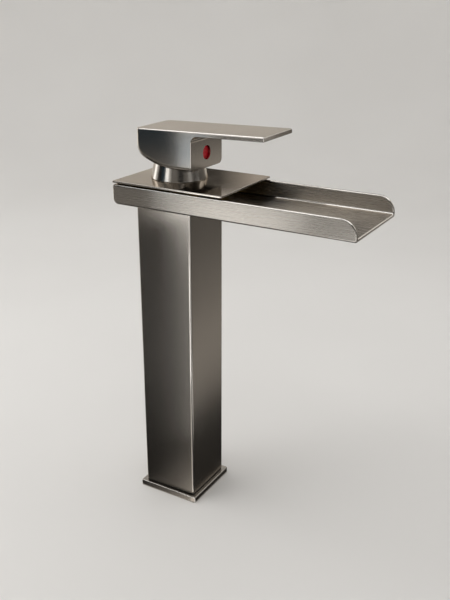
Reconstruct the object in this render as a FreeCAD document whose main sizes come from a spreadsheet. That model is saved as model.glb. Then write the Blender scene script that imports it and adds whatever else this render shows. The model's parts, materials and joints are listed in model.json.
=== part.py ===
import FreeCAD, Part
import os
import re
import Sketcher

# Tall single-lever basin mixer with an open waterfall trough.
# Millimetres, +Z up, origin on the column's axis at the underside of the foot plate.
# The trough pours towards -Y, hot water is on -X and cold water on +X.

doc = FreeCAD.newDocument("basin_faucet")
sheet = doc.addObject("Spreadsheet::Sheet", "dims")

DIMENSIONS = [
    ("base_width", 55.0, "side of the square foot plate"),
    ("base_thickness", 5.0, "foot plate"),
    ("base_corner_radius", 1.6, "upright edges of the foot plate"),
    ("base_edge_radius", 0.8, "upper edges of the foot plate"),
    ("edge_radius", 0.5, "rims of the collar and the button"),
    ("gasket_outer_width", 51.0, "outer side of the foot gasket's groove"),
    ("gasket_rim", 3.0, "width of the foot gasket's groove"),
    ("gasket_thickness", 2.0, "foot gasket"),
    ("gasket_gap", 0.15, "side clearance of the foot gasket"),
    ("column_width", 48.0, "side of the square column"),
    ("column_wall", 1.5, "column tube wall"),
    ("column_corner_radius", 1.8, "upright edges of the column"),
    ("column_cap", 3.0, "closed top of the column"),
    ("column_gasket_thickness", 1.0, "seal between column and foot plate"),
    ("column_gasket_inset", 0.6, "seal behind the column's faces"),
    ("spout_height", 253.0, "underside of the trough above the deck"),
    ("spigot_radius", 17.9, "inlet block's spigot in the foot plate"),
    ("slip_gap", 0.2, "radial clearance of pieces that slip together"),
    ("block_height", 22.0, "inlet block above the foot plate"),
    ("inlet_radius", 4.5, "M10 x 1 inlet thread, minor"),
    ("inlet_depth", 12.0, "inlet thread length"),
    ("stud_radius", 3.4, "M8 fixing thread, minor"),
    ("stud_depth", 14.0, "fixing thread length"),
    ("stud_spacing", 25.0, "between the two fixing threads"),
    ("port_offset", 8.0, "water ways from the axis, along X"),
    ("port_radius", 2.6, "water ways"),
    ("riser_radius", 5.0, "riser tube outside"),
    ("riser_wall", 1.0, "riser tube wall"),
    ("riser_gap", 0.05, "radial clearance of a riser in its socket"),
    ("riser_end_gap", 0.5, "end clearance of a riser"),
    ("socket_depth", 10.0, "riser sockets"),
    ("ring_section", 0.95, "section radius of a riser ring"),
    ("ring_gap", 0.05, "clearance round a riser ring"),
    ("neck_radius", 20.5, "mixer body inside the column"),
    ("neck_length", 30.0, "mixer body below the trough"),
    ("body_width", 54.0, "mixer body inside the trough"),
    ("body_gasket_thickness", 0.8, "seal on the trough floor"),
    ("plate_gasket_thickness", 0.9, "seal under the cover plate"),
    ("gasket_inset", 1.0, "gaskets inside the mixer body's outline"),
    ("seat_depth", 9.0, "cartridge seat below the column top"),
    ("outlet_slot_radius", 19.3, "reach of the slot beside the cartridge"),
    ("outlet_slot_width", 16.0, "slot beside the cartridge"),
    ("window_width", 26.0, "outlet window"),
    ("window_height", 5.0, "outlet window"),
    ("window_sill", 0.8, "outlet window above the mixer body's foot"),
    ("screw_offset", 18.5, "body screws from the axis, along X and Y"),
    ("screw_radius", 2.0, "M4 body screw"),
    ("screw_gap", 0.15, "radial clearance of a body screw"),
    ("screw_head_radius", 3.4, "body screw head"),
    ("screw_head_height", 4.0, "body screw head"),
    ("screw_head_gap", 0.3, "radial clearance of a screw head"),
    ("screw_seat", 7.0, "head seat above the mixer body's foot"),
    ("screw_key", 1.7, "hexagon socket, corner radius"),
    ("screw_key_depth", 2.0, "hexagon socket"),
    ("trough_width", 74.0, "trough outside"),
    ("trough_height", 15.0, "trough walls, from its underside"),
    ("trough_reach", 158.8, "lip of the trough ahead of the axis"),
    ("trough_back", 36.0, "back of the trough behind the axis"),
    ("sheet_thickness", 2.5, "trough sheet"),
    ("lip_radius", 12.0, "rounded front ends of the trough walls"),
    ("heel_radius", 4.5, "bend at the trough's back"),
    ("fold_radius", 1.5, "folds along the trough"),
    ("sheet_edge_radius", 1.0, "trough wall rims"),
    ("plate_gap", 1.3, "shadow gap between trough walls and cover plate"),
    ("plate_thickness", 1.5, "cover plate"),
    ("plate_reach", 58.7, "cover plate ahead of the axis"),
    ("plate_corner_radius", 1.0, "cover plate corners"),
    ("plate_edge_radius", 0.5, "cover plate edges"),
    ("plate_hole_gap", 0.4, "cover plate round the nut"),
    ("cartridge_radius", 17.5, "35 mm cartridge"),
    ("cartridge_gap", 0.2, "cartridge in its bore"),
    ("cartridge_wall", 2.0, "cartridge housing wall"),
    ("cartridge_flange", 5.0, "cartridge base, lower part"),
    ("cartridge_boss", 2.5, "cartridge base, part inside the housing"),
    ("pin_radius", 1.5, "locating pins and pivot pin"),
    ("pin_length", 2.5, "locating pins"),
    ("locating_offset", 12.5, "locating pins from the axis, along Y"),
    ("running_gap", 0.05, "radial clearance of a turning pin"),
    ("press_gap", 0.02, "radial clearance of a fixed pin"),
    ("outlet_offset", 7.0, "cartridge outlet behind the axis"),
    ("channel_width", 6.0, "outlet channel in the cartridge base"),
    ("channel_height", 3.0, "outlet channel in the cartridge base"),
    ("channel_floor", 1.2, "cartridge base under the outlet channel"),
    ("seal_outer_radius", 4.3, "port seals"),
    ("seal_thickness", 1.6, "port seals"),
    ("seal_gap", 0.1, "clearance round a port seal"),
    ("disc_radius", 14.5, "fixed disc"),
    ("disc_thickness", 3.5, "each ceramic disc"),
    ("moving_disc_radius", 11.6, "moving disc"),
    ("mixing_depth", 2.0, "hollow under the moving disc"),
    ("mixing_width", 20.0, "hollow under the moving disc, over both inlets"),
    ("mixing_length", 2.9, "hollow under the moving disc, over both inlets"),
    ("mixing_tail", 8.4, "hollow under the moving disc, over the outlet"),
    ("disc_gap", 0.5, "guide above the moving disc"),
    ("guide_flange", 2.8, "flange that keeps the guide in the housing"),
    ("guide_flange_radius", 15.2, "flange that keeps the guide in the housing"),
    ("end_gap", 0.2, "flange under the housing's roof"),
    ("roof_thickness", 2.0, "cartridge housing roof"),
    ("guide_radius", 13.0, "stem guide"),
    ("guide_gap", 0.3, "radial clearance of the guide"),
    ("neck_wall", 1.2, "cartridge neck wall"),
    ("neck_height", 14.0, "cartridge neck above the shoulder"),
    ("guide_rise", 1.0, "guide above the cartridge neck"),
    ("pivot_rise", 9.0, "pivot pin above the cartridge shoulder"),
    ("pivot_pin_length", 24.0, "pivot pin"),
    ("lift_angle", 25.0, "handle lift, degrees"),
    ("ball_radius", 2.4, "stem foot"),
    ("ball_rise", 3.5, "stem foot above the moving disc"),
    ("ball_gap", 0.15, "stem foot in its pocket"),
    ("carrier_width", 14.0, "disc carrier, along X"),
    ("carrier_length", 15.0, "disc carrier, along Y"),
    ("carrier_crest", 1.3, "disc carrier above the ball's centre"),
    ("carrier_floor", 0.7, "disc carrier under the ball's pocket"),
    ("carrier_gap", 0.15, "disc carrier in the guide"),
    ("peg_radius", 1.2, "carrier pegs in the moving disc"),
    ("peg_length", 1.0, "carrier pegs in the moving disc"),
    ("peg_offset", 5.0, "carrier pegs from the axis, along X"),
    ("stem_neck_radius", 2.0, "stem between ball and square"),
    ("stem_width", 8.0, "square stem"),
    ("stem_foot", 4.0, "square stem below the pivot"),
    ("stem_gap", 0.1, "clearance of the stem in slot and socket"),
    ("slot_front", 7.0, "guide's slot ahead of the axis"),
    ("slot_back", 7.8, "guide's slot behind the axis"),
    ("nut_radius", 19.8, "cartridge nut thread"),
    ("thread_gap", 0.1, "radial clearance of a thread"),
    ("nut_bore_gap", 0.3, "nut round the cartridge neck"),
    ("nut_boss_radius", 18.2, "nut's upper thread"),
    ("nut_boss_height", 4.7, "nut above the cover plate"),
    ("nut_slot_width", 5.0, "driver slot across the nut"),
    ("nut_slot_depth", 2.0, "driver slot across the nut"),
    ("collar_radius", 21.7, "collar's foot"),
    ("collar_height", 16.2, "collar"),
    ("collar_angle", 12.7, "collar's slope from upright, degrees"),
    ("collar_wall", 1.2, "collar above the thread"),
    ("handle_gap", 9.6, "handle block above the cover plate"),
    ("handle_height", 28.3, "handle block at its back"),
    ("handle_width", 44.0, "handle block and lever"),
    ("handle_back", 24.5, "back of the handle behind the axis"),
    ("handle_front", 24.5, "front of the block ahead of the axis"),
    ("handle_wall", 1.8, "handle block wall"),
    ("handle_crown", 5.0, "handle block above its hollow"),
    ("lever_reach", 83.0, "lever tip ahead of the axis"),
    ("lever_thickness", 3.5, "lever plate"),
    ("lever_tilt", 1.4, "lever's rise to the tip, degrees"),
    ("lever_fillet", 5.0, "hollow corner between block and lever"),
    ("heel_start", 2.2, "where the block's underside starts to rise"),
    ("heel_slope", 21.8, "rise of the block's underside, degrees"),
    ("heel_sweep", 58.0, "bend where the underside starts to rise"),
    ("heel_round", 11.5, "bend from the underside to the back"),
    ("handle_back_radius", 4.0, "upright back edges of the handle"),
    ("handle_edge_radius", 1.2, "upper edges of the handle"),
    ("block_edge_radius", 0.5, "lower edges of the handle"),
    ("boss_rise", 7.6, "stem boss above the block's underside"),
    ("boss_width", 13.0, "stem boss"),
    ("rib_width", 12.0, "rib between the boss and the block's front"),
    ("stem_insertion", 18.4, "stem top above the block's underside"),
    ("button_rise", 11.4, "button above the block's underside"),
    ("button_radius", 5.2, "indicator button"),
    ("button_gap", 0.1, "indicator button in its recess"),
    ("button_recess", 3.5, "recess in the block's front"),
    ("button_setback", 1.8, "button's face behind the block's front"),
    ("button_stub", 4.0, "button's stub"),
    ("grub_radius", 3.0, "M6 set screw"),
    ("grub_length", 10.0, "set screw"),
    ("grub_key", 1.7, "set screw's hexagon socket, corner radius"),
    ("grub_key_depth", 3.0, "set screw's hexagon socket"),
    ("overcut", 1.0, "length that a cutter reaches past a face"),
]

DRIVING = set()
for row, (alias, size, meaning) in enumerate(DIMENSIONS, start=1):
    sheet.set("A%d" % row, alias)
    sheet.set("B%d" % row, str(size))
    sheet.set("C%d" % row, meaning)
    sheet.setAlias("B%d" % row, alias)
    DRIVING.add(alias)
doc.recompute()

# Levels and sizes that follow from the driving dimensions.
DERIVED = {
    "half_base": "base_width / 2",
    "half_column": "column_width / 2",
    "half_inside": "column_width / 2 - column_wall",
    "half_block": "half_inside - slip_gap",
    "column_foot": "base_thickness + column_gasket_thickness",
    "groove_outer": "gasket_outer_width / 2",
    "groove_inner": "groove_outer - gasket_rim",
    "block_top": "base_thickness + block_height",
    "lower_socket": "block_top - socket_depth",
    "ring_radius": "riser_radius + ring_gap + ring_section",
    "ring_groove": "ring_radius + ring_section + ring_gap",
    "ring_half": "ring_section + ring_gap",
    "half_socket": "socket_depth / 2",
    "floor_top": "spout_height + sheet_thickness",
    "wall_top": "spout_height + trough_height",
    "half_trough": "trough_width / 2",
    "plate_bottom": "wall_top + plate_gap",
    "plate_top": "plate_bottom + plate_thickness",
    "body_foot": "floor_top + body_gasket_thickness",
    "body_top": "plate_bottom - plate_gasket_thickness",
    "body_bottom": "spout_height - neck_length",
    "upper_socket": "body_bottom + socket_depth",
    "half_body": "body_width / 2",
    "neck_hole": "neck_radius + slip_gap",
    "screw_hole": "screw_radius + screw_gap",
    "screw_level": "body_foot + screw_seat",
    "seat": "spout_height - seat_depth",
    "bore": "cartridge_radius + cartridge_gap",
    "window_bottom": "body_foot + window_sill",
    "window_top": "window_bottom + window_height",
    "flange_top": "seat + cartridge_flange",
    "base_top": "flange_top + cartridge_boss",
    "channel_bottom": "seat + channel_floor",
    "fixed_top": "base_top + disc_thickness",
    "moving_top": "fixed_top + disc_thickness",
    "guide_bottom": "moving_top + disc_gap",
    "guide_flange_top": "guide_bottom + guide_flange",
    "roof": "guide_flange_top + end_gap",
    "shoulder": "roof + roof_thickness",
    "housing_bore": "cartridge_radius - cartridge_wall",
    "neck_bore": "guide_radius + guide_gap",
    "neck_outer": "neck_bore + neck_wall",
    "neck_top": "shoulder + neck_height",
    "guide_top": "neck_top + guide_rise",
    "pivot_level": "shoulder + pivot_rise",
    "ball_level": "moving_top + ball_rise",
    "arm": "pivot_level - ball_level",
    "disc_travel": "arm * sin(lift_angle)",
    "disc_rest": "disc_travel / 2",
    "mixing_front": "port_radius + disc_gap",
    "carrier_top": "ball_level + carrier_crest",
    "half_carrier": "carrier_width / 2",
    "half_stem": "stem_width / 2",
    "nut_bore": "neck_outer + nut_bore_gap",
    "nut_boss_top": "plate_top + nut_boss_height",
    "collar_bore": "nut_boss_radius + thread_gap",
    "collar_top": "plate_top + collar_height",
    "collar_top_radius": "collar_radius - collar_height * tan(collar_angle)",
    "collar_mid_radius": "collar_radius - nut_boss_height * tan(collar_angle)",
    "handle_bottom": "plate_top + handle_gap",
    "handle_top": "handle_bottom + handle_height",
    "half_handle": "handle_width / 2",
    "tip_top": "handle_top + (handle_back + lever_reach) * tan(lever_tilt)",
    "root_top": "handle_top + (handle_back + handle_front) * tan(lever_tilt)",
    "heel_top": "handle_bottom + (handle_back - heel_start) * tan(heel_slope)",
    "half_hollow": "half_handle - handle_wall",
    "hollow_front": "handle_front - handle_wall",
    "hollow_back": "handle_back - handle_wall",
    "hollow_top": "handle_top - handle_crown",
    "boss_bottom": "handle_bottom + boss_rise",
    "half_boss": "boss_width / 2",
    "half_rib": "rib_width / 2",
    "stem_top": "handle_bottom + stem_insertion",
    "button_level": "handle_bottom + button_rise",
    "button_face": "handle_front - button_setback",
    "button_back": "handle_front - button_recess + button_gap",
    "grub_hole": "grub_radius + thread_gap",
    "grub_front": "half_stem + stem_gap + grub_length",
}
WORD = re.compile(r"[a-z_]+")


def expand(expression):
    def swap(match):
        word = match.group(0)
        if word in DERIVED:
            return "(" + expand(DERIVED[word]) + ")"
        if word in DRIVING:
            return "dims." + word
        return word
    return WORD.sub(swap, expression)


def value(expression):
    return float(sheet.evalExpression(expand(expression)))


def bind(thing, name, expression):
    thing.setExpression(name, expand(expression))


# Sketch-based bodies.

def make_body(label):
    body = doc.addObject("PartDesign::Body", label)
    body.Label = label
    return body


def make_sketch(body, name, role, offset):
    sketch = body.newObject("Sketcher::SketchObject", body.Name + "_" + name)
    planes = [plane for plane in body.Origin.OriginFeatures if plane.Role == role]
    sketch.AttachmentSupport = [(planes[0], "")]
    sketch.MapMode = "FlatFace"
    bind(sketch, "AttachmentOffset.Base.z", offset)
    return sketch


def fix_point(sketch, geometry, point, across, along):
    for kind, expression in (("DistanceX", across), ("DistanceY", along)):
        rule = Sketcher.Constraint(kind, -1, 1, geometry, point, value(expression))
        number = sketch.addConstraint(rule)
        bind(sketch, "Constraints[%d]" % number, expression)


def add_outline(sketch, corners):
    points = [FreeCAD.Vector(value(across), value(along), 0) for across, along in corners]
    first = sketch.GeometryCount
    count = len(corners)
    for index in range(count):
        sketch.addGeometry(Part.LineSegment(points[index], points[(index + 1) % count]), False)
    for index in range(count):
        following = first + (index + 1) % count
        sketch.addConstraint(Sketcher.Constraint("Coincident", first + index, 2, following, 1))
    for index, (across, along) in enumerate(corners):
        fix_point(sketch, first + index, 1, across, along)


def add_rectangle(sketch, left, right, front, back):
    add_outline(sketch, [(left, front), (right, front), (right, back), (left, back)])


def add_square(sketch, half):
    add_rectangle(sketch, "-" + half, half, "-" + half, half)


def add_circle(sketch, radius, across="0", along="0"):
    centre = FreeCAD.Vector(value(across), value(along), 0)
    upright = FreeCAD.Vector(0, 0, 1)
    number = sketch.addGeometry(Part.Circle(centre, upright, value(radius)), False)
    fix_point(sketch, number, 3, across, along)
    rule = sketch.addConstraint(Sketcher.Constraint("Radius", number, value(radius)))
    bind(sketch, "Constraints[%d]" % rule, radius)


def add_feature(body, kind, sketch):
    feature = body.newObject("PartDesign::" + kind, sketch.Name + "_" + kind.lower())
    feature.Profile = sketch
    return feature


def pad(body, sketch, length, centred=False):
    feature = add_feature(body, "Pad", sketch)
    bind(feature, "Length", length)
    feature.SideType = "Symmetric" if centred else "One side"
    doc.recompute()
    return feature


def pocket(body, sketch, depth, backwards=False):
    before = body.Shape.Volume
    feature = add_feature(body, "Pocket", sketch)
    bind(feature, "Length", depth)
    feature.Reversed = backwards
    doc.recompute()
    if body.Shape.Volume >= before:
        raise RuntimeError(sketch.Name + " cuts nothing")
    return feature


def revolve(body, sketch):
    feature = add_feature(body, "Revolution", sketch)
    feature.ReferenceAxis = (sketch, ["V_Axis"])
    feature.Angle = 360.0
    doc.recompute()
    return feature


def turned(label, profile):
    body = make_body(label)
    sketch = make_sketch(body, "profile", "XZ_Plane", "0")
    add_outline(sketch, profile)
    revolve(body, sketch)
    return body


def round_edges(body, name, radius, wanted):
    tip = body.Tip
    edges = enumerate(tip.Shape.Edges, start=1)
    names = ["Edge%d" % number for number, edge in edges if wanted(edge)]
    feature = body.newObject("PartDesign::Fillet", body.Name + "_" + name)
    feature.Base = (tip, names)
    bind(feature, "Radius", radius)
    doc.recompute()
    return feature


NEAR = 1e-4


def same(first, second):
    return abs(first - second) < NEAR


def lies_at(edge, across=None, along=None, level=None):
    box = edge.BoundBox
    spans = ((across, box.XMin, box.XMax), (along, box.YMin, box.YMax), (level, box.ZMin, box.ZMax))
    for wanted, low, high in spans:
        if wanted is not None and not (same(low, wanted) and same(high, wanted)):
            return False
    return True


def is_upright(edge):
    return edge.BoundBox.XLength < NEAR and edge.BoundBox.YLength < NEAR


def is_sharp(shape, edge):
    faces = shape.ancestorsOfType(edge, Part.Face)
    if len(faces) < 2:
        return False
    middle = edge.valueAt((edge.FirstParameter + edge.LastParameter) / 2)
    normals = []
    for face in faces:
        normals.append(face.normalAt(*face.Surface.parameter(middle)))
    return abs(normals[0].dot(normals[1])) < SMOOTH


SMOOTH = 0.97


# Primitive-based pieces.

def box(name, low, high):
    piece = doc.addObject("Part::Box", name)
    for size, axis, start, end in zip(("Length", "Width", "Height"), "xyz", low, high):
        bind(piece, size, "(%s) - (%s)" % (end, start))
        bind(piece, "Placement.Base." + axis, start)
    return piece


TURNS = {
    "x": FreeCAD.Rotation(FreeCAD.Vector(0, 1, 0), 90),
    "y": FreeCAD.Rotation(FreeCAD.Vector(1, 0, 0), -90),
    "z": FreeCAD.Rotation(),
}


def place(piece, centre, axis):
    piece.Placement = FreeCAD.Placement(FreeCAD.Vector(), TURNS[axis])
    for name, expression in zip("xyz", centre):
        bind(piece, "Placement.Base." + name, expression)


def cylinder(name, radius, start, length, axis="z"):
    piece = doc.addObject("Part::Cylinder", name)
    bind(piece, "Radius", radius)
    bind(piece, "Height", length)
    place(piece, start, axis)
    return piece


def post(name, radius, bottom, top, across="0", along="0"):
    return cylinder(name, radius, (across, along, bottom), "(%s) - (%s)" % (top, bottom))


def hexagon(name, radius, start, length, axis="z"):
    piece = doc.addObject("Part::Prism", name)
    piece.Polygon = 6
    bind(piece, "Circumradius", radius)
    bind(piece, "Height", length)
    place(piece, start, axis)
    return piece


def fuse(label, pieces):
    joined = doc.addObject("Part::MultiFuse", label)
    joined.Shapes = pieces
    joined.Refine = True
    return joined


def cut(label, base, tools):
    piece = doc.addObject("Part::Cut", label)
    piece.Base = base
    piece.Tool = tools[0] if len(tools) == 1 else fuse(label + "_cutters", tools)
    piece.Label = label
    return piece


def group(label, pieces):
    bundle = doc.addObject("Part::Compound", label)
    bundle.Links = pieces
    bundle.Label = label
    return bundle


def ring(label, outer, inner, bottom, top, across="0", along="0"):
    wall = post(label + "_wall", outer, bottom, top, across, along)
    hole = post(label + "_hole", inner, bottom, top, across, along)
    return cut(label, wall, [hole])


SIDES = {"hot": "-", "cold": ""}
CORNERS = [("-", "-"), ("", "-"), ("", ""), ("-", "")]


def at_screws(build):
    return [build("%d" % number, across + "screw_offset", along + "screw_offset")
            for number, (across, along) in enumerate(CORNERS, start=1)]


# Foot of the faucet.

def make_base_plate():
    body = make_body("base_plate")
    outline = make_sketch(body, "outline", "XY_Plane", "0")
    add_square(outline, "half_base")
    pad(body, outline, "base_thickness")
    round_edges(body, "corners", "base_corner_radius", is_upright)
    top = value("base_thickness")
    round_edges(body, "rim", "base_edge_radius", lambda edge: lies_at(edge, level=top))
    hole = make_sketch(body, "hole", "XY_Plane", "base_thickness")
    add_circle(hole, "spigot_radius + slip_gap")
    pocket(body, hole, "base_thickness")
    groove = make_sketch(body, "groove", "XY_Plane", "0")
    add_square(groove, "groove_outer")
    add_square(groove, "groove_inner")
    pocket(body, groove, "gasket_thickness", backwards=True)
    return body


def make_base_gasket():
    body = make_body("base_gasket")
    outline = make_sketch(body, "outline", "XY_Plane", "0")
    add_square(outline, "(groove_outer - gasket_gap)")
    add_square(outline, "(groove_inner + gasket_gap)")
    pad(body, outline, "gasket_thickness")
    return body


def make_column_gasket():
    body = make_body("column_gasket")
    outline = make_sketch(body, "outline", "XY_Plane", "base_thickness")
    add_square(outline, "(half_column - column_gasket_inset)")
    pad(body, outline, "column_gasket_thickness")
    round_edges(body, "corners", "column_corner_radius - column_gasket_inset", is_upright)
    inside = make_sketch(body, "inside", "XY_Plane", "column_foot")
    add_square(inside, "half_inside")
    pocket(body, inside, "column_gasket_thickness")
    return body


def make_column():
    body = make_body("column")
    outline = make_sketch(body, "outline", "XY_Plane", "column_foot")
    add_square(outline, "half_column")
    pad(body, outline, "spout_height - column_foot")
    round_edges(body, "corners", "column_corner_radius", is_upright)
    inside = make_sketch(body, "inside", "XY_Plane", "column_foot")
    add_square(inside, "half_inside")
    pocket(body, inside, "spout_height - column_foot - column_cap", backwards=True)
    neck = make_sketch(body, "neck", "XY_Plane", "spout_height")
    add_circle(neck, "neck_hole")
    for across, along in CORNERS:
        add_circle(neck, "screw_hole", across + "screw_offset", along + "screw_offset")
    pocket(body, neck, "column_cap")
    return body


def make_inlet_block():
    square = box("inlet_square", ("-half_block", "-half_block", "base_thickness"),
                 ("half_block", "half_block", "block_top"))
    spigot = post("inlet_spigot", "spigot_radius", "0", "base_thickness + overcut")
    cutters = []
    for side, sign in SIDES.items():
        across = sign + "port_offset"
        cutters.append(post(side + "_inlet", "inlet_radius", "-overcut", "inlet_depth", across))
        cutters.append(post(side + "_way", "port_radius", "0", "block_top", across))
        cutters.append(post(side + "_socket", "riser_radius + riser_gap", "lower_socket",
                            "block_top + overcut", across))
        cutters.append(post(side + "_groove", "ring_groove", "lower_socket + half_socket - ring_half",
                            "lower_socket + half_socket + ring_half", across))
    for place_name, sign in (("front", "-"), ("back", "")):
        along = sign + "stud_spacing / 2"
        cutters.append(post(place_name + "_stud", "stud_radius", "-overcut", "stud_depth", "0", along))
    return cut("inlet_block", fuse("inlet_solid", [square, spigot]), cutters)


def make_riser(side):
    across = SIDES[side] + "port_offset"
    return ring(side + "_riser", "riser_radius", "riser_radius - riser_wall",
                "lower_socket + riser_end_gap", "upper_socket - riser_end_gap", across)


def make_riser_o_rings():
    rings = []
    for side, sign in SIDES.items():
        for end, level in (("lower", "lower_socket + half_socket"), ("upper", "upper_socket - half_socket")):
            piece = doc.addObject("Part::Torus", side + "_" + end + "_ring")
            bind(piece, "Radius1", "ring_radius")
            bind(piece, "Radius2", "ring_section")
            place(piece, (sign + "port_offset", "0", level), "z")
            rings.append(piece)
    return group("riser_o_rings", rings)


# Mixer body and what clamps it.

def make_mixer_body():
    neck = post("mixer_neck", "neck_radius", "body_bottom", "body_foot + overcut")
    square = box("mixer_square", ("-half_body", "-half_body", "body_foot"),
                 ("half_body", "half_body", "body_top"))
    slot_round = post("outlet_round", "outlet_slot_radius", "channel_bottom", "window_top")
    slot_box = box("outlet_box", ("-outlet_slot_width / 2", "-neck_radius", "channel_bottom"),
                   ("outlet_slot_width / 2", "0", "window_top"))
    slot = doc.addObject("Part::Common", "outlet_slot")
    slot.Base = slot_round
    slot.Tool = slot_box
    cutters = [
        slot,
        box("outlet_window", ("-window_width / 2", "-half_body - overcut", "window_bottom"),
            ("window_width / 2", "0", "window_top")),
        post("cartridge_bore", "bore", "seat", "body_top + overcut"),
        post("nut_thread", "nut_radius + thread_gap", "shoulder", "body_top + overcut"),
    ]
    for side, sign in SIDES.items():
        across = sign + "port_offset"
        cutters.append(post(side + "_body_socket", "riser_radius + riser_gap",
                            "body_bottom - overcut", "upper_socket", across))
        cutters.append(post(side + "_body_way", "port_radius", "body_bottom", "seat + overcut", across))
        cutters.append(post(side + "_body_groove", "ring_groove", "upper_socket - half_socket - ring_half",
                            "upper_socket - half_socket + ring_half", across))
    for end, sign in (("front", "-"), ("back", "")):
        cutters.append(post(end + "_locating_hole", "pin_radius + running_gap",
                            "seat - pin_length - end_gap", "seat + overcut", "0", sign + "locating_offset"))
    cutters += at_screws(lambda number, across, along: post(
        "body_screw_hole" + number, "screw_hole", "body_foot - overcut", "body_top", across, along))
    cutters += at_screws(lambda number, across, along: post(
        "body_head_hole" + number, "screw_head_radius + screw_head_gap",
        "screw_level", "body_top + overcut", across, along))
    return cut("mixer_body", fuse("mixer_solid", [neck, square]), cutters)


def make_flat_seal(label, bottom, top, hole, screw_radius):
    half = "half_body - gasket_inset"
    sheet_piece = box(label + "_sheet", ("-(%s)" % half, "-(%s)" % half, bottom), (half, half, top))
    cutters = [post(label + "_hole", hole, bottom, top)]
    cutters += at_screws(lambda number, across, along: post(
        label + "_screw_hole" + number, screw_radius, bottom, top, across, along))
    return cut(label, sheet_piece, cutters)


def make_body_screw(number, across, along):
    name = "body_screw" + number
    head = post(name + "_head", "screw_head_radius", "screw_level", "screw_level + screw_head_height",
                across, along)
    shank = post(name + "_shank", "screw_radius", "spout_height - column_cap", "screw_level + overcut",
                 across, along)
    key = hexagon(name + "_key", "screw_key",
                  (across, along, "screw_level + screw_head_height - screw_key_depth"),
                  "screw_key_depth + overcut")
    return cut(name, fuse(name + "_solid", [head, shank]), [key])


# Trough and its cover.

def make_spout_trough():
    body = make_body("spout_trough")
    side = make_sketch(body, "side", "YZ_Plane", "0")
    add_rectangle(side, "-trough_reach", "trough_back", "spout_height", "wall_top")
    pad(body, side, "trough_width", centred=True)
    bottom = value("spout_height")
    top = value("wall_top")
    tip = -value("trough_reach")
    back = value("trough_back")
    half = value("half_trough")
    floor = value("floor_top")
    inner_half = half - value("sheet_thickness")
    inner_back = back - value("sheet_thickness")
    round_edges(body, "lips", "lip_radius", lambda edge: lies_at(edge, along=tip, level=top))
    round_edges(body, "heel", "heel_radius", lambda edge: lies_at(edge, along=back, level=bottom))

    def is_fold(edge):
        return lies_at(edge, across=half, level=bottom) or lies_at(edge, across=-half, level=bottom)

    round_edges(body, "folds", "fold_radius", is_fold)
    channel = make_sketch(body, "channel", "XY_Plane", "wall_top")
    add_rectangle(channel, "-(half_trough - sheet_thickness)", "half_trough - sheet_thickness",
                  "-trough_reach - overcut", "trough_back - sheet_thickness")
    pocket(body, channel, "trough_height - sheet_thickness")
    round_edges(body, "inner_heel", "heel_radius - sheet_thickness",
                lambda edge: lies_at(edge, along=inner_back, level=floor))

    def is_inner_fold(edge):
        return lies_at(edge, across=inner_half, level=floor) or lies_at(edge, across=-inner_half, level=floor)

    round_edges(body, "inner_folds", "fold_radius", is_inner_fold)
    round_edges(body, "rims", "sheet_edge_radius", lambda edge: lies_at(edge, level=top))
    holes = make_sketch(body, "holes", "XY_Plane", "floor_top")
    add_circle(holes, "neck_hole")
    for across, along in CORNERS:
        add_circle(holes, "screw_hole", across + "screw_offset", along + "screw_offset")
    pocket(body, holes, "sheet_thickness")
    return body


def make_cover_plate():
    body = make_body("cover_plate")
    outline = make_sketch(body, "outline", "XY_Plane", "plate_bottom")
    add_rectangle(outline, "-half_trough", "half_trough", "-plate_reach", "trough_back")
    pad(body, outline, "plate_thickness")
    round_edges(body, "corners", "plate_corner_radius", is_upright)
    top = value("plate_top")
    bottom = value("plate_bottom")
    round_edges(body, "rims", "plate_edge_radius",
                lambda edge: lies_at(edge, level=top) or lies_at(edge, level=bottom))
    hole = make_sketch(body, "hole", "XY_Plane", "plate_top")
    add_circle(hole, "nut_radius + plate_hole_gap")
    pocket(body, hole, "plate_thickness")
    return body


def make_collar():
    body = turned("collar", [
        ("collar_bore", "plate_top"),
        ("collar_radius", "plate_top"),
        ("collar_top_radius", "collar_top"),
        ("collar_top_radius - collar_wall", "collar_top"),
        ("collar_mid_radius - collar_wall", "nut_boss_top"),
        ("collar_bore", "nut_boss_top"),
    ])
    top = value("collar_top")
    foot = value("plate_top")
    outer = value("collar_radius")
    round_edges(body, "rim", "edge_radius", lambda edge: lies_at(edge, level=top))
    round_edges(body, "foot", "edge_radius",
                lambda edge: lies_at(edge, level=foot) and same(edge.BoundBox.XMax, outer))
    return body


# Cartridge.

def make_cartridge_nut():
    body = turned("cartridge_nut", [
        ("nut_bore", "shoulder"),
        ("nut_radius", "shoulder"),
        ("nut_radius", "plate_top"),
        ("nut_boss_radius", "plate_top"),
        ("nut_boss_radius", "nut_boss_top"),
        ("nut_bore", "nut_boss_top"),
    ])
    slot = make_sketch(body, "slot", "XY_Plane", "nut_boss_top")
    add_rectangle(slot, "-nut_radius", "nut_radius", "-nut_slot_width / 2", "nut_slot_width / 2")
    pocket(body, slot, "nut_slot_depth")
    return body


def make_cartridge_housing():
    return turned("cartridge_housing", [
        ("housing_bore", "flange_top"),
        ("cartridge_radius", "flange_top"),
        ("cartridge_radius", "shoulder"),
        ("neck_outer", "shoulder"),
        ("neck_outer", "neck_top"),
        ("neck_bore", "neck_top"),
        ("neck_bore", "roof"),
        ("housing_bore", "roof"),
    ])


PORTS = {
    "hot": ("-port_offset", "0"),
    "cold": ("port_offset", "0"),
    "outlet": ("0", "outlet_offset"),
}


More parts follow.
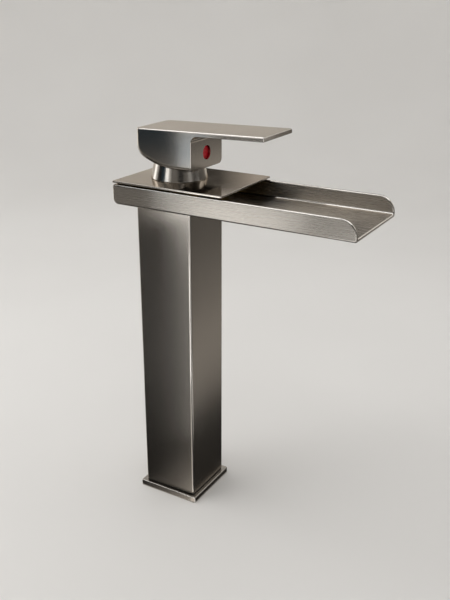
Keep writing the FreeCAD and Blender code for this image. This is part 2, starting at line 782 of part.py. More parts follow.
def make_cartridge_base():
    solids = [
        post("case_flange", "cartridge_radius", "seat", "flange_top"),
        post("case_boss", "housing_bore - slip_gap", "flange_top - overcut", "base_top"),
    ]
    for end, sign in (("front", "-"), ("back", "")):
        solids.append(post(end + "_locating_pin", "pin_radius", "seat - pin_length", "seat + overcut",
                           "0", sign + "locating_offset"))
    cutters = [box("outlet_channel", ("-channel_width / 2", "-cartridge_radius - overcut", "channel_bottom"),
                   ("channel_width / 2", "outlet_offset + port_radius", "channel_bottom + channel_height"))]
    for port, (across, along) in PORTS.items():
        start = "channel_bottom" if port == "outlet" else "seat - overcut"
        cutters.append(post(port + "_case_way", "port_radius", start, "base_top + overcut", across, along))
        cutters.append(post(port + "_disc_recess", "seal_outer_radius + seal_gap",
                            "base_top - seal_thickness", "base_top + overcut", across, along))
        if port != "outlet":
            cutters.append(post(port + "_seat_recess", "seal_outer_radius + seal_gap",
                                "seat - overcut", "seat + seal_thickness", across, along))
    return cut("cartridge_base", fuse("case_solid", solids), cutters)


def make_seals(label, ports, bottom, top):
    rings = []
    for port in ports:
        across, along = PORTS[port]
        rings.append(ring(label + "_" + port, "seal_outer_radius", "port_radius + seal_gap",
                          bottom, top, across, along))
    return group(label, rings)


def make_fixed_disc():
    cutters = [post(port + "_disc_way", "port_radius", "base_top", "fixed_top", across, along)
               for port, (across, along) in PORTS.items()]
    return cut("fixed_disc", post("fixed_blank", "disc_radius", "base_top", "fixed_top"), cutters)


def make_moving_disc():
    blank = post("moving_blank", "moving_disc_radius", "fixed_top", "moving_top", "0", "disc_rest")
    cutters = [
        box("mixing_hollow", ("-mixing_width / 2", "mixing_front", "fixed_top"),
            ("mixing_width / 2", "mixing_front + mixing_length", "fixed_top + mixing_depth")),
        box("mixing_tail_hollow", ("-channel_width / 2", "mixing_front", "fixed_top"),
            ("channel_width / 2", "mixing_front + mixing_tail", "fixed_top + mixing_depth")),
    ]
    for side, sign in SIDES.items():
        cutters.append(post(side + "_peg_hole", "peg_radius + seal_gap", "moving_top - peg_length - seal_gap",
                            "moving_top", sign + "peg_offset", "disc_rest"))
    return cut("moving_disc", blank, cutters)


def make_disc_carrier():
    solids = [box("carrier_block", ("-half_carrier", "disc_rest - carrier_length / 2", "moving_top"),
                  ("half_carrier", "disc_rest + carrier_length / 2", "carrier_top"))]
    for side, sign in SIDES.items():
        solids.append(post(side + "_peg", "peg_radius", "moving_top - peg_length", "moving_top + peg_length",
                           sign + "peg_offset", "disc_rest"))
    half = "ball_radius + ball_gap"
    pocket_box = box("ball_pocket", ("-(%s)" % half, "-(%s)" % half, "moving_top + carrier_floor"),
                     (half, half, "carrier_top + overcut"))
    return cut("disc_carrier", fuse("carrier_solid", solids), [pocket_box])


def make_stem_guide():
    solids = [
        post("guide_barrel", "guide_radius", "guide_bottom", "guide_top"),
        post("guide_rim", "guide_flange_radius", "guide_bottom", "guide_flange_top"),
    ]
    half = "half_carrier + carrier_gap"
    cutters = [
        box("carrier_slot", ("-(%s)" % half, "-cartridge_radius", "guide_bottom - overcut"),
            (half, "cartridge_radius", "carrier_top + disc_gap")),
        box("stem_slot", ("-half_stem - stem_gap", "-slot_front", "guide_bottom - overcut"),
            ("half_stem + stem_gap", "slot_back", "guide_top + overcut")),
        cylinder("guide_pin_hole", "pin_radius + press_gap", ("-cartridge_radius", "0", "pivot_level"),
                 "2 * cartridge_radius", "x"),
    ]
    return cut("stem_guide", fuse("guide_solid", solids), cutters)


def make_pivot_pin():
    pin = cylinder("pivot_pin", "pin_radius", ("-pivot_pin_length / 2", "0", "pivot_level"),
                   "pivot_pin_length", "x")
    return pin


# Handle and what is on it.

def make_stem():
    ball = doc.addObject("Part::Sphere", "stem_ball")
    bind(ball, "Radius", "ball_radius")
    place(ball, ("0", "0", "ball_level"), "z")
    neck = post("stem_neck", "stem_neck_radius", "ball_level", "pivot_level - stem_foot + overcut")
    square = box("stem_square", ("-half_stem", "-half_stem", "pivot_level - stem_foot"),
                 ("half_stem", "half_stem", "stem_top"))
    hole = cylinder("stem_pin_hole", "pin_radius + running_gap", ("-stem_width", "0", "pivot_level"),
                    "2 * stem_width", "x")
    return cut("stem", fuse("stem_solid", [ball, neck, square]), [hole])


def make_handle():
    body = make_body("handle")
    side = make_sketch(body, "side", "YZ_Plane", "0")
    add_outline(side, [
        ("-handle_front", "handle_bottom"),
        ("heel_start", "handle_bottom"),
        ("handle_back", "heel_top"),
        ("handle_back", "handle_top"),
        ("-lever_reach", "tip_top"),
        ("-lever_reach", "tip_top - lever_thickness"),
        ("-handle_front", "root_top - lever_thickness"),
    ])
    pad(body, side, "handle_width", centred=True)
    bottom = value("handle_bottom")
    front = -value("handle_front")
    back = value("handle_back")
    start = value("heel_start")
    heel = value("heel_top")
    root = value("root_top - lever_thickness")
    round_edges(body, "sweep", "heel_sweep", lambda edge: lies_at(edge, along=start, level=bottom))
    round_edges(body, "heel", "heel_round", lambda edge: lies_at(edge, along=back, level=heel))
    round_edges(body, "root", "lever_fillet", lambda edge: lies_at(edge, along=front, level=root))
    round_edges(body, "back_edges", "handle_back_radius",
                lambda edge: lies_at(edge, along=back) and is_upright(edge))
    top = value("handle_top")
    slope = value("tan(lever_tilt)")

    def is_upper(edge):
        spots = [edge.valueAt(edge.FirstParameter), edge.valueAt(edge.LastParameter)]
        return all(same(spot.z, top + (back - spot.y) * slope) for spot in spots)

    round_edges(body, "upper_edges", "handle_edge_radius", is_upper)
    shape = body.Tip.Shape
    round_edges(body, "lower_edges", "block_edge_radius", lambda edge: is_sharp(shape, edge))

    mouth = make_sketch(body, "mouth", "XY_Plane", "handle_bottom - overcut")
    add_rectangle(mouth, "-half_hollow", "half_hollow", "-hollow_front", "hollow_back")
    pocket(body, mouth, "boss_rise + overcut", backwards=True)
    hollow = make_sketch(body, "hollow", "XY_Plane", "boss_bottom")
    add_outline(hollow, [
        ("-half_hollow", "-hollow_front"),
        ("-half_rib", "-hollow_front"),
        ("-half_rib", "-half_boss"),
        ("-half_boss", "-half_boss"),
        ("-half_boss", "half_boss"),
        ("half_boss", "half_boss"),
        ("half_boss", "-half_boss"),
        ("half_rib", "-half_boss"),
        ("half_rib", "-hollow_front"),
        ("half_hollow", "-hollow_front"),
        ("half_hollow", "hollow_back"),
        ("-half_hollow", "hollow_back"),
    ])
    pocket(body, hollow, "hollow_top - boss_bottom", backwards=True)
    socket = make_sketch(body, "socket", "XY_Plane", "boss_bottom")
    add_square(socket, "(half_stem + stem_gap)")
    pocket(body, socket, "stem_top + stem_gap - boss_bottom", backwards=True)
    thread = make_sketch(body, "thread", "XZ_Plane", "handle_front")
    add_circle(thread, "grub_hole", "0", "button_level")
    pocket(body, thread, "handle_front")
    recess = make_sketch(body, "recess", "XZ_Plane", "handle_front")
    add_circle(recess, "button_radius + button_gap", "0", "button_level")
    pocket(body, recess, "button_recess")
    return body


def make_set_screw():
    level = "button_level"
    rod = cylinder("grub_rod", "grub_radius", ("0", "-grub_front", level), "grub_length", "y")
    key = hexagon("grub_socket", "grub_key", ("0", "-grub_front - overcut", level),
                  "grub_key_depth + overcut", "y")
    return cut("set_screw", rod, [key])


def make_indicator_button():
    body = make_body("indicator_button")
    profile = make_sketch(body, "profile", "XY_Plane", "button_level")
    add_outline(profile, [
        ("0", "-button_face"),
        ("button_radius", "-button_face"),
        ("button_radius", "-button_back"),
        ("grub_radius", "-button_back"),
        ("grub_radius", "-button_back + button_stub"),
        ("0", "-button_back + button_stub"),
    ])
    revolve(body, profile)
    face = -value("button_face")
    round_edges(body, "rim", "edge_radius", lambda edge: lies_at(edge, along=face))
    return body


nodes = [
    make_base_plate(),
    make_base_gasket(),
    make_column_gasket(),
    make_column(),
    make_inlet_block(),
    make_riser("hot"),
    make_riser("cold"),
    make_riser_o_rings(),
    make_mixer_body(),
    make_flat_seal("body_gasket", "floor_top", "body_foot", "neck_hole", "screw_hole"),
    group("body_screws", at_screws(make_body_screw)),
    make_spout_trough(),
    make_flat_seal("plate_gasket", "body_top", "plate_bottom", "nut_radius + plate_hole_gap",
                   "screw_head_radius"),
    make_cover_plate(),
    make_collar(),
    make_cartridge_nut(),
    make_cartridge_housing(),
    make_cartridge_base(),
    make_seals("port_seals", ("hot", "cold"), "seat", "seat + seal_thickness"),
    make_seals("disc_seals", PORTS, "base_top - seal_thickness", "base_top"),
    make_fixed_disc(),
    make_moving_disc(),
    make_disc_carrier(),
    make_stem_guide(),
    make_pivot_pin(),
    make_stem(),
    make_handle(),
    make_set_screw(),
    make_indicator_button(),
]
doc.recompute()

for thing in doc.Objects:
    if "Invalid" in thing.State or "Error" in thing.State:
        raise RuntimeError(thing.Name + " failed: " + ", ".join(thing.State))
for node in nodes:
    if node.Shape.isNull() or not node.Shape.isValid():
        raise RuntimeError(node.Label + " has no sound shape")

os.makedirs("parts", exist_ok=True)
for node in nodes:
    node.Shape.exportStep("parts/%s.step" % node.Label)
    extent = node.Shape.BoundBox
    print("%-18s %2d solids %9.1f mm3  z %.2f to %.2f" % (
        node.Label, len(node.Shape.Solids), node.Shape.Volume, extent.ZMin, extent.ZMax))
print("pivot %.3f ball %.3f disc travel %.4f" % (
    value("pivot_level"), value("ball_level"), value("disc_travel")))
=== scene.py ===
import json
import math

import bmesh
import bpy
from mathutils import Matrix, Vector

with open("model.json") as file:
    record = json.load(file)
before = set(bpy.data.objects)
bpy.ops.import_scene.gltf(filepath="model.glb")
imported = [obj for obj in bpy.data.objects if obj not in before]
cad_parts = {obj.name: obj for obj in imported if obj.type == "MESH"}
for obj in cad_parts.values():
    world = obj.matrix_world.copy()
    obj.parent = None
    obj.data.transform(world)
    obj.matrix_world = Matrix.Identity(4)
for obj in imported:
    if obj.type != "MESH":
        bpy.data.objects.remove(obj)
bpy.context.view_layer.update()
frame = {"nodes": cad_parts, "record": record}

scene = bpy.context.scene
scene.view_settings.view_transform = "Standard"


# Small helpers for building node trees.

def newMaterial(name):
    material = bpy.data.materials.new(name)
    material.use_nodes = True
    tree = material.node_tree
    return material, tree, tree.nodes["Principled BSDF"]


def addNode(tree, kind, **settings):
    node = tree.nodes.new("ShaderNode" + kind)
    for name, setting in settings.items():
        setattr(node, name, setting)
    return node


def feed(tree, socket, source):
    if isinstance(source, bpy.types.NodeSocket):
        tree.links.new(source, socket)
    else:
        socket.default_value = source


def opaque(colour):
    return (*colour, 1.0)


def noise(tree, scale, stretch=(1, 1, 1), detail=2.0, roughness=0.5):
    mapping = addNode(tree, "Mapping")
    feed(tree, mapping.inputs["Vector"], addNode(tree, "TexCoord").outputs["Object"])
    mapping.inputs["Scale"].default_value = [scale * part for part in stretch]
    texture = addNode(tree, "TexNoise")
    texture.inputs["Scale"].default_value = 1.0    # the mapping has the scale already
    texture.inputs["Detail"].default_value = detail
    texture.inputs["Roughness"].default_value = roughness
    feed(tree, texture.inputs["Vector"], mapping.outputs["Vector"])
    return texture.outputs["Fac"]


def spread(tree, source, low, high, fromLow=0.3, fromHigh=0.7):    # most of a noise lies from 0.3 to 0.7
    node = addNode(tree, "MapRange")
    feed(tree, node.inputs["Value"], source)
    node.inputs["From Min"].default_value = fromLow
    node.inputs["From Max"].default_value = fromHigh
    node.inputs["To Min"].default_value = low
    node.inputs["To Max"].default_value = high
    return node.outputs["Result"]


def maths(tree, operation, first, second=0.0):
    node = addNode(tree, "Math", operation=operation)
    feed(tree, node.inputs[0], first)
    feed(tree, node.inputs[1], second)
    return node.outputs["Value"]


def mixColour(tree, amount, first, second):
    node = addNode(tree, "Mix", data_type="RGBA")
    feed(tree, node.inputs["Factor"], amount)
    feed(tree, node.inputs[6], first)    # sockets 6 and 7 take the colours, 2 gives the mix
    feed(tree, node.inputs[7], second)
    return node.outputs[2]


def twoTone(tree, pattern, look):    # from the look's dark colour to its light one
    return mixColour(tree, spread(tree, pattern, 0.0, 1.0), opaque(look["dark"]), opaque(look["light"]))


def bump(tree, height, strength, distance, under=None):
    node = addNode(tree, "Bump")
    node.inputs["Strength"].default_value = strength
    node.inputs["Distance"].default_value = distance
    feed(tree, node.inputs["Height"], height)
    if under is not None:
        feed(tree, node.inputs["Normal"], under)
    return node.outputs["Normal"]


def facing(tree):    # the three parts of the piece's own normal
    parts = addNode(tree, "SeparateXYZ")
    feed(tree, parts.inputs["Vector"], addNode(tree, "TexCoord").outputs["Normal"])
    return [parts.outputs[way] for way in "XYZ"]


def edgeMask(tree, low, high):    # 1 on rounded edges, 0 on the square faces
    across, along, up = (maths(tree, "ABSOLUTE", part) for part in facing(tree))
    squarest = maths(tree, "MAXIMUM", maths(tree, "MAXIMUM", across, along), up)
    return spread(tree, squarest, 1.0, 0.0, fromLow=low, fromHigh=high)


def upMask(tree, low, high):    # 0 under the piece, where the painted shade goes, and 1 on its sides and top
    return spread(tree, facing(tree)[2], 0.0, 1.0, fromLow=low, fromHigh=high)


# Brushed nickel, with the brushing along one direction of the piece.

brushedLook = dict(
    # edge is the rims' lighter colour, partly polished wear and partly a painted highlight
    dark=(0.458, 0.430, 0.394), light=(0.474, 0.446, 0.408), edge=(0.72, 0.69, 0.65),
    # under is a painted shade: a darker colour on the faces that point down
    under=(0.20, 0.19, 0.175), glance=(0.95, 0.89, 0.82),
    edgeRound=0.82, edgeSquare=0.97, edgePolish=-0.12, paintedShadeLow=-0.35, paintedShadeHigh=-0.10,
    anisotropic=0.72, shineTurn=0.25,
    streakScale=900.0, streakLength=0.016, streakDetail=3.0, streakRoughness=0.6,
    hairScale=4200.0, hairLength=0.008, hairDepth=0.00001, hairStrength=0.04,
    waveDetail=1.0, waveStrength=1.0,
)
brushedPieces = {
    "column": dict(way=(0.03, 0.05, 1.0), smooth=0.265, rough=0.273, waveScale=14.0, waveDepth=0.0002),
    "spout_trough": dict(way=(0.05, 1.0, 0.08), smooth=0.270, rough=0.277, waveScale=32.0,
                         waveDepth=0.0002),
    "handle": dict(way=(0.05, 1.0, 0.08), smooth=0.210, rough=0.222, waveScale=30.0, waveDepth=0.0001),
    "base_plate": dict(way=(1.0, 0.05, 0.06), smooth=0.245, rough=0.255, waveScale=20.0,
                       waveDepth=0.0001),
}


def alongBrushing(way, length):    # a pattern's stretch, drawn out along the brushing
    return [1 + (length - 1) * round(part) for part in way]


def brushedNickel(name, piece):
    look = brushedLook
    material, tree, shader = newMaterial(name)
    streak = noise(tree, look["streakScale"], alongBrushing(piece["way"], look["streakLength"]),
                   look["streakDetail"], look["streakRoughness"])
    hair = noise(tree, look["hairScale"], alongBrushing(piece["way"], look["hairLength"]))
    wave = noise(tree, piece["waveScale"], detail=look["waveDetail"])    # the sheet isn't quite flat
    edge = edgeMask(tree, look["edgeRound"], look["edgeSquare"])
    # rims get a lighter colour: partly polished wear, partly a painted highlight
    wornAndHighlit = mixColour(tree, edge, twoTone(tree, streak, look), opaque(look["edge"]))
    clearOfPaintedShade = upMask(tree, look["paintedShadeLow"], look["paintedShadeHigh"])
    feed(tree, shader.inputs["Base Color"],    # undersides get a darker colour, a painted shade
         mixColour(tree, clearOfPaintedShade, opaque(look["under"]), wornAndHighlit))
    shader.inputs["Metallic"].default_value = 1.0
    polish = maths(tree, "MULTIPLY", edge, look["edgePolish"])
    feed(tree, shader.inputs["Roughness"],
         maths(tree, "ADD", spread(tree, hair, piece["smooth"], piece["rough"]), polish))
    shader.inputs["Specular Tint"].default_value = opaque(look["glance"])    # its colour at a slant
    shader.inputs["Anisotropic"].default_value = look["anisotropic"]
    shader.inputs["Anisotropic Rotation"].default_value = look["shineTurn"]    # across the brushing
    direction = addNode(tree, "CombineXYZ")
    for socket, part in zip(direction.inputs, piece["way"]):
        socket.default_value = part
    feed(tree, shader.inputs["Tangent"], direction.outputs["Vector"])
    sheet = bump(tree, wave, look["waveStrength"], piece["waveDepth"])
    feed(tree, shader.inputs["Normal"], bump(tree, hair, look["hairStrength"], look["hairDepth"], sheet))
    return material


# Polished nickel of the cover plate.

polishedLook = dict(
    dark=(0.44, 0.41, 0.375), light=(0.48, 0.45, 0.41), glance=(0.95, 0.89, 0.82),
    smooth=0.09, rough=0.15, smudgeScale=45.0, smudgeDetail=3.0,
    wipeScale=900.0, wipeLength=0.02, wipeDepth=0.000006, wipeStrength=0.15,
)


def polishedNickel(name):
    look = polishedLook
    material, tree, shader = newMaterial(name)
    smudge = noise(tree, look["smudgeScale"], detail=look["smudgeDetail"])
    wipe = noise(tree, look["wipeScale"], (1.0, look["wipeLength"], 1.0))
    feed(tree, shader.inputs["Base Color"], twoTone(tree, wipe, look))
    shader.inputs["Metallic"].default_value = 1.0
    shader.inputs["Specular Tint"].default_value = opaque(look["glance"])
    feed(tree, shader.inputs["Roughness"], spread(tree, smudge, look["smooth"], look["rough"]))
    feed(tree, shader.inputs["Normal"], bump(tree, wipe, look["wipeStrength"], look["wipeDepth"]))
    return material


# Satin turned nickel of the collar, with fine rings from the lathe.

turnedLook = dict(
    dark=(0.54, 0.51, 0.47), light=(0.60, 0.57, 0.53), glance=(0.95, 0.89, 0.82),
    smooth=0.15, rough=0.21, cloudScale=90.0, cloudDetail=3.0,
    ringScale=3200.0, ringSqueeze=0.01, ringDepth=0.000006, ringStrength=0.2,
)


def turnedNickel(name):
    look = turnedLook
    material, tree, shader = newMaterial(name)
    rings = noise(tree, look["ringScale"], (look["ringSqueeze"], look["ringSqueeze"], 1.0))
    cloud = noise(tree, look["cloudScale"], detail=look["cloudDetail"])
    feed(tree, shader.inputs["Base Color"], twoTone(tree, cloud, look))
    shader.inputs["Metallic"].default_value = 1.0
    shader.inputs["Specular Tint"].default_value = opaque(look["glance"])
    feed(tree, shader.inputs["Roughness"], spread(tree, rings, look["smooth"], look["rough"]))
    feed(tree, shader.inputs["Normal"], bump(tree, rings, look["ringStrength"], look["ringDepth"]))
    return material


# Turned and machined metals inside the column.

machinedLooks = {
    "brass": dict(dark=(0.58, 0.42, 0.17), light=(0.76, 0.59, 0.29), smooth=0.22, rough=0.42),
    "steel": dict(dark=(0.44, 0.44, 0.45), light=(0.60, 0.60, 0.61), smooth=0.20, rough=0.38),
}
toolMarks = dict(scale=2600.0, squeeze=0.06, depth=0.00002, strength=0.35,
                 stainScale=120.0, stainDetail=4.0, stainRoughness=0.6)


def machinedMetal(name, look):
    material, tree, shader = newMaterial(name)
    marks = noise(tree, toolMarks["scale"], (toolMarks["squeeze"], toolMarks["squeeze"], 1.0))
    stain = noise(tree, toolMarks["stainScale"], detail=toolMarks["stainDetail"],
                  roughness=toolMarks["stainRoughness"])
    feed(tree, shader.inputs["Base Color"], twoTone(tree, stain, look))
    shader.inputs["Metallic"].default_value = 1.0
    feed(tree, shader.inputs["Roughness"], spread(tree, marks, look["smooth"], look["rough"]))
    feed(tree, shader.inputs["Normal"], bump(tree, marks, toolMarks["strength"], toolMarks["depth"]))
    return material


# Rubber, plastic, ceramic and the red button.

mouldedLooks = {
    "black_rubber": dict(dark=(0.012, 0.012, 0.012), light=(0.035, 0.034, 0.033), smooth=0.55, rough=0.85,
                         grainScale=2200.0, depth=0.00006, coat=0.0, shine=0.4),
    "grey_plastic": dict(dark=(0.36, 0.37, 0.39), light=(0.45, 0.46, 0.48), smooth=0.38, rough=0.58,
                         grainScale=1700.0, depth=0.00003, coat=0.0, shine=0.5),
    "white_ceramic": dict(dark=(0.80, 0.79, 0.76), light=(0.88, 0.87, 0.84), smooth=0.12, rough=0.26,
                          grainScale=2600.0, depth=0.00001, coat=0.3, shine=0.5),
    "red_indicator": dict(dark=(0.68, 0.004, 0.018), light=(0.80, 0.007, 0.026), smooth=0.22, rough=0.34,
                          grainScale=900.0, depth=0.00002, coat=0.0, shine=0.25),
}
mouldGrain = dict(detail=3.0, strength=0.3, cloudCoarser=12)    # the colour's clouds are coarser


def mouldedMaterial(name, look):
    material, tree, shader = newMaterial(name)
    grain = noise(tree, look["grainScale"], detail=mouldGrain["detail"])
    cloud = noise(tree, look["grainScale"] / mouldGrain["cloudCoarser"])
    feed(tree, shader.inputs["Base Color"], twoTone(tree, cloud, look))
    feed(tree, shader.inputs["Roughness"], spread(tree, grain, look["smooth"], look["rough"]))
    feed(tree, shader.inputs["Normal"], bump(tree, grain, mouldGrain["strength"], look["depth"]))
    shader.inputs["Coat Weight"].default_value = look["coat"]
    shader.inputs["Specular IOR Level"].default_value = look["shine"]
    return material


# Each node takes a finish of its own, or else the finish of its slot in the record.

finishOfNode = {"collar": turnedNickel("nickelTurned")}
for nodeName, piece in brushedPieces.items():
    finishOfNode[nodeName] = brushedNickel("nickelBrushed." + nodeName, piece)
finishOfSlot = {"polished_nickel": polishedNickel("nickelPolished")}
for slotName, look in machinedLooks.items():
    finishOfSlot[slotName] = machinedMetal(slotName + "Machined", look)
for slotName, look in mouldedLooks.items():
    finishOfSlot[slotName] = mouldedMaterial(slotName + "Moulded", look)

for subpart in frame["record"]["subparts"]:
    node = frame["nodes"][subpart["node"]]
    finish = finishOfNode.get(subpart["node"]) or finishOfSlot[subpart["material_slot"]]
    node.data.materials.clear()
    node.data.materials.append(finish)
print("finishes: %d materials" % len(bpy.data.materials))


# The camera, and the directions that the studio is set out by.

cameraSpot = dict(place=(-0.49654, -0.32918, 0.40640), aim=(0.01757, -0.03011, 0.16972),
                  lens=47.49, roll=0.15, clipStart=0.01)
studioHeart = Vector((0.0, -0.03, 0.20))
towardsCamera = (Vector(cameraSpot["place"]) - studioHeart).xy.normalized().to_3d()
pictureLeft = Vector((towardsCamera.y, -towardsCamera.x, 0))


def addCamera(spot):
    camera = bpy.data.objects.new("camera", bpy.data.cameras.new("camera"))
    camera.data.lens = spot["lens"]
    camera.data.clip_start = spot["clipStart"]
    place = Vector(spot["place"])
    sight = (Vector(spot["aim"]) - place).to_track_quat("-Z", "Y").to_matrix()
    turn = sight @ Matrix.Rotation(math.radians(spot["roll"]), 3, "Z")
    camera.matrix_world = Matrix.Translation(place) @ turn.to_4x4()
    scene.collection.objects.link(camera)
    scene.camera = camera


# Pale floor, round, that sweeps up into a wall on every side.

floorLook = dict(
    middle=0.88, flat=1.1, bend=0.7, wall=1.1, bendSteps=20, turnSteps=96,
    dark=(0.75, 0.735, 0.71), light=(0.78, 0.765, 0.74), roughness=0.7, shine=0.0, cloudScale=3.0,
)


def floorProfile(look):    # distance from the middle, height
    profile = [(look["middle"], 0.0), (look["flat"], 0.0)]
    for step in range(1, look["bendSteps"] + 1):
        turn = math.pi / 2 * step / look["bendSteps"]
        reach = look["flat"] + look["bend"] * math.sin(turn)
        profile.append((reach, look["bend"] * (1 - math.cos(turn))))
    profile.append((look["flat"] + look["bend"], look["bend"] + look["wall"]))
    return profile


def floorMaterial(look):
    material, tree, shader = newMaterial("floorPale")
    feed(tree, shader.inputs["Base Color"], twoTone(tree, noise(tree, look["cloudScale"]), look))
    shader.inputs["Roughness"].default_value = look["roughness"]
    shader.inputs["Specular IOR Level"].default_value = look["shine"]
    return material


def makeFloor(look):
    shape = bmesh.new()
    rings = []
    for reach, height in floorProfile(look):
        ring = []
        for step in range(look["turnSteps"]):
            turn = 2 * math.pi * step / look["turnSteps"]
            outward = Vector((math.cos(turn), math.sin(turn))) * reach
            ring.append(shape.verts.new((*(studioHeart.xy + outward), height)))
        rings.append(ring)
    shape.faces.new(rings[0])
    for lower, upper in zip(rings, rings[1:]):
        for step in range(look["turnSteps"]):
            face = shape.faces.new((lower[step - 1], lower[step], upper[step], upper[step - 1]))
            face.smooth = True
    mesh = bpy.data.meshes.new("floor")
    shape.to_mesh(mesh)
    shape.free()
    mesh.materials.append(floorMaterial(look))
    floor = bpy.data.objects.new("floor", mesh)
    scene.collection.objects.link(floor)


makeFloor(floorLook)
print("floor: %.1f m across" % (2 * (floorLook["flat"] + floorLook["bend"])))


# Boards that the metal's sides mirror. They stand beside the faucet and don't show themselves.
# Shades go up a board, or along it from its start. Lean tips the edge at its start inwards. The
# boards are warm, apart from the two with a cool tint, for the handle's side.

boardLook = dict(tint=(1.0, 0.93, 0.85), base=(0.0, 0.0, 0.0), shine=0.0, glow=1.0)
boards = {
    "leftLow": dict(start=(-0.12, 0.027), end=(-0.12, 0.24), bottom=0.0, top=0.214, lean=0.006,
                    shades=[(0.0, 0.015), (0.9, 0.040), (1.0, 0.12)]),
    "leftHigh": dict(start=(-0.12, 0.048), end=(-0.12, 0.24), bottom=0.214, top=0.27, lean=0.002,
                     shades=[(0.0, 0.34), (0.52, 0.30), (1.0, 0.012)]),
    "leftTop": dict(start=(-0.12, 0.105), end=(-0.12, 0.24), bottom=0.27, top=0.36,
                    shades=[(0.0, 0.012)]),
    "handleCard": dict(start=(-0.12, 0.050), end=(-0.12, 0.105), bottom=0.27, top=0.36, lean=0.003,
                       tint=(0.44, 0.95, 1.40), shades=[(0.0, 0.028)]),
    "sideCard": dict(start=(-0.12, 0.024), end=(-0.12, 0.0495), bottom=0.258, top=0.288,
                     tint=(0.85, 0.98, 1.10), shades=[(0.0, 0.88)]),
    "leverCard": dict(start=(-0.30, -0.04), end=(-0.30, 0.135), bottom=0.202, top=0.308,
                      shades=[(0.0, 0.01)]),
    "rightBoard": dict(start=(0.05, -0.12), end=(0.60, -0.12), bottom=0.0, top=0.214,
                       shades=[(0.0, 0.40), (0.318, 0.38), (0.572, 0.22), (0.842, 0.13)]),
    "collarCard": dict(start=(0.05, -0.12), end=(0.105, -0.12), bottom=0.214, top=0.34,
                       shades=[(0.0, 0.06), (0.55, 0.06), (0.65, 0.25)]),
    "buttonCard": dict(start=(0.105, -0.12), end=(0.60, -0.12), bottom=0.214, top=0.34,
                       shades=[(0.0, 0.25), (0.13, 0.62), (0.27, 0.46), (0.38, 0.19), (0.48, 0.12)]),
    "tipBoard": dict(start=(-0.02, -0.26), end=(0.225, -0.26), bottom=0.0, top=0.27,
                     shades=[(0.0, 0.030)]),
    "rightHigh": dict(start=(0.02, -1.03), end=(0.75, -0.80), bottom=0.36, top=1.30,
                      shades=[(0.0, 0.05)]),
    "plateCard": dict(start=(0.12, -0.034), end=(0.12, 0.071), bottom=0.28, top=0.312, along=True,
                      shades=[(0.0, 0.60), (0.30, 0.50), (0.48, 0.28), (0.66, 0.08), (1.0, 0.02)]),
    "cameraBoard": dict(start=(-1.0, 0.04), end=(0.02, -1.03), bottom=0.32, top=1.30, along=True,
                        shades=[(0.0, 0.17), (0.30, 0.15), (0.40, 0.01), (0.49, 0.01), (0.60, 0.15)]),
}

# Mats that lie on the floor do the same. Their shades go from the first side to the one across.

matLift = 0.0006
mats = {
    "leftMat": dict(corners=[(-0.12, -0.02), (-0.0278, -0.02), (-0.0278, 0.20), (-0.12, 0.20)],
                    shades=[(0.0, 0.45), (0.10, 0.16), (0.22, 0.025), (0.4, 0.015)]),
    "tipMat": dict(corners=[(-0.30, -0.16), (-0.30, 0.0), (-1.60, 0.53), (-1.60, -0.10)],
                   shades=[(0.0, 0.07)]),
    "edgeMat": dict(corners=[(-0.0285, -0.029), (-0.0285, -0.022), (-0.20, -0.008), (-0.20, -0.07)],
                    shades=[(0.0, 1.0)]),
    "frontMat": dict(corners=[(-0.027, -0.033), (-0.40, -0.24), (-0.40, -0.62), (-0.027, -0.13)],
                     shades=[(0.0, 0.03)]),
    "rightMat": dict(corners=[(-0.026, -0.12), (0.48, -0.12), (0.48, -0.0278), (-0.026, -0.0278)],
                     shades=[(0.0, 0.030)]),
}


def boardCorners(board):    # the first two make the side that the shades start from
    start = Vector((*board["start"], 0.0))
    end = Vector((*board["end"], 0.0))
    bottom = Vector((0.0, 0.0, board["bottom"]))
    top = Vector((0.0, 0.0, board["top"]))
    if board.get("along"):
        return [start + bottom, start + top, end + top, end + bottom]
    lean = (end - start).normalized() * board.get("lean", 0.0)
    return [start + bottom, end + bottom, end + top, start + lean + top]


def tinted(shade, tint):
    return opaque([shade * part for part in tint])


def shadeRamp(tree, mesh, shades, tint):
    reach = mesh.uv_layers.new(name="reach")
    for corner, share in zip(reach.data, (0.0, 0.0, 1.0, 1.0)):    # 0 on the first side, 1 across
        corner.uv = (0.5, share)
    parts = addNode(tree, "SeparateXYZ")
    feed(tree, parts.inputs["Vector"], addNode(tree, "TexCoord").outputs["UV"])
    ramp = addNode(tree, "ValToRGB")
    feed(tree, ramp.inputs["Fac"], parts.outputs["Y"])
    stops = ramp.color_ramp.elements
    stops.remove(stops[1])
    for step, (share, shade) in enumerate(shades):
        stop = stops[0] if step == 0 else stops.new(share)
        stop.position = share
        stop.color = tinted(shade, tint)
    return ramp.outputs["Color"]


def addBoard(name, corners, board, unshaded):
    shape = bmesh.new()
    shape.faces.new([shape.verts.new(spot) for spot in corners])
    mesh = bpy.data.meshes.new(name)
    shape.to_mesh(mesh)
    shape.free()
    material, tree, shader = newMaterial(name + "Shade")
    shader.inputs["Base Color"].default_value = opaque(boardLook["base"])
    shader.inputs["Specular IOR Level"].default_value = boardLook["shine"]
    shader.inputs["Emission Strength"].default_value = boardLook["glow"]
    shades = board["shades"]
    tint = board.get("tint", boardLook["tint"])
    if len(shades) == 1:
        shader.inputs["Emission Color"].default_value = tinted(shades[0][1], tint)
    else:
        feed(tree, shader.inputs["Emission Color"], shadeRamp(tree, mesh, shades, tint))
    mesh.materials.append(material)
    piece = bpy.data.objects.new(name, mesh)
    scene.collection.objects.link(piece)
    piece.visible_camera = False
    piece.visible_diffuse = False
    unshaded.objects.link(piece)
    unshaded.collection_objects[-1].light_linking.link_state = "EXCLUDE"    # no shadow on the floor


unshaded = bpy.data.collections.new("unshaded")
for name, board in boards.items():
    addBoard(name, boardCorners(board), board, unshaded)
for name, mat in mats.items():
    addBoard(name, [(*spot, matLift) for spot in mat["corners"]], mat, unshaded)
print("boards: %d standing, %d on the floor" % (len(boards), len(mats)))


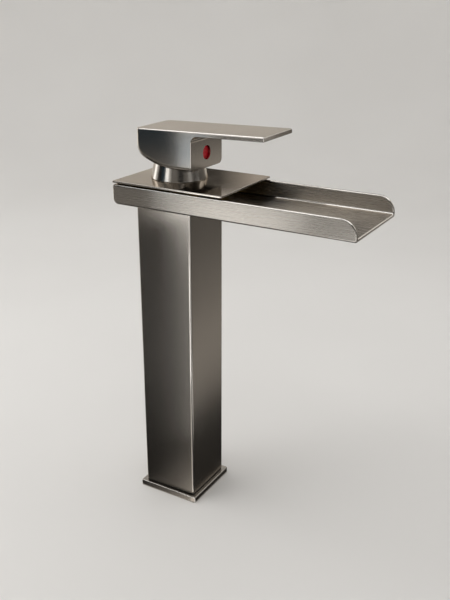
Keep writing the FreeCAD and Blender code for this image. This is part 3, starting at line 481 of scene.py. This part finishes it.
# Lamps round the faucet. Bearing is measured from the camera, to the left in the picture, and glow
# is the brightness of a lamp's face. The lamps in the list shape the metal's reflections alone. The
# edge box and the ceiling box light the floor too.

lamps = {
    "keyBox": dict(bearing=56, distance=0.82, height=0.055, width=0.20, tall=0.11, glow=3.0),
    "collarBox": dict(bearing=55, distance=0.80, height=0.46, width=0.30, tall=0.20, glow=1.25),
    "backStrip": dict(bearing=118, distance=1.1, height=0.45, width=0.30, tall=0.9, glow=1.5),
    "sideStrip": dict(bearing=-45, distance=0.62, height=0.42, width=0.17, tall=0.30, glow=0.2),
    "lowStrip": dict(bearing=5, distance=0.9, height=0.10, width=0.50, tall=0.20, glow=1.5),
    "edgePanel": dict(bearing=18, distance=0.24, height=0.0725, width=0.11, tall=0.135, glow=2.3),
    "rimBox": dict(bearing=-124, distance=1.1, height=1.22, width=0.7, tall=0.6, glow=1.6),
    "edgeStrip": dict(bearing=104, distance=0.50, height=1.20, width=0.9, tall=0.45, glow=0.75),
    "rightFill": dict(bearing=-112, distance=1.2, height=0.45, width=0.8, tall=0.7, glow=0.30),
    "backCard": dict(bearing=180, distance=1.05, height=0.375, width=1.2, tall=0.21, glow=0.22),
}
edgeBox = dict(bearing=95, distance=0.85, height=1.15, width=1.2, tall=1.2, glow=1.55)
ceilingBox = dict(bearing=180, distance=0.1, height=1.6, width=2.4, tall=2.4, glow=1.0)
worldGlow = dict(colour=(0.98, 0.98, 1.0), strength=0.15)


def standAt(box):
    turn = math.radians(box["bearing"])
    outward = towardsCamera * math.cos(turn) + pictureLeft * math.sin(turn)
    place = studioHeart + outward * box["distance"]
    place.z = box["height"]
    return place


def addLamp(name, box, aim):
    light = bpy.data.lights.new(name, "AREA")
    light.shape = "RECTANGLE"
    light.size = box["width"]
    light.size_y = box["tall"]
    light.energy = box["glow"] * math.pi * box["width"] * box["tall"]
    lamp = bpy.data.objects.new(name, light)
    lamp.location = standAt(box)
    lamp.rotation_euler = (aim - lamp.location).to_track_quat("-Z", "Y").to_euler()
    lamp.visible_camera = False
    scene.collection.objects.link(lamp)
    return lamp


def addWorld(glow):
    world = bpy.data.worlds.new("studio")
    scene.world = world
    world.use_nodes = True
    backdrop = world.node_tree.nodes["Background"]
    backdrop.inputs["Color"].default_value = opaque(glow["colour"])
    backdrop.inputs["Strength"].default_value = glow["strength"]


for name, box in lamps.items():
    addLamp(name, box, studioHeart).visible_diffuse = False
edgeLamp = addLamp("edgeBox", edgeBox, studioHeart)
edgeLamp.visible_glossy = False    # the edge strip is what the rims mirror
ceilingLamp = addLamp("ceilingBox", ceilingBox, standAt(ceilingBox) - Vector((0, 0, 1)))
for lamp in (edgeLamp, ceilingLamp):
    lamp.light_linking.blocker_collection = unshaded
addWorld(worldGlow)
addCamera(cameraSpot)
print("studio: %d lamps and the camera" % len(bpy.data.lights))
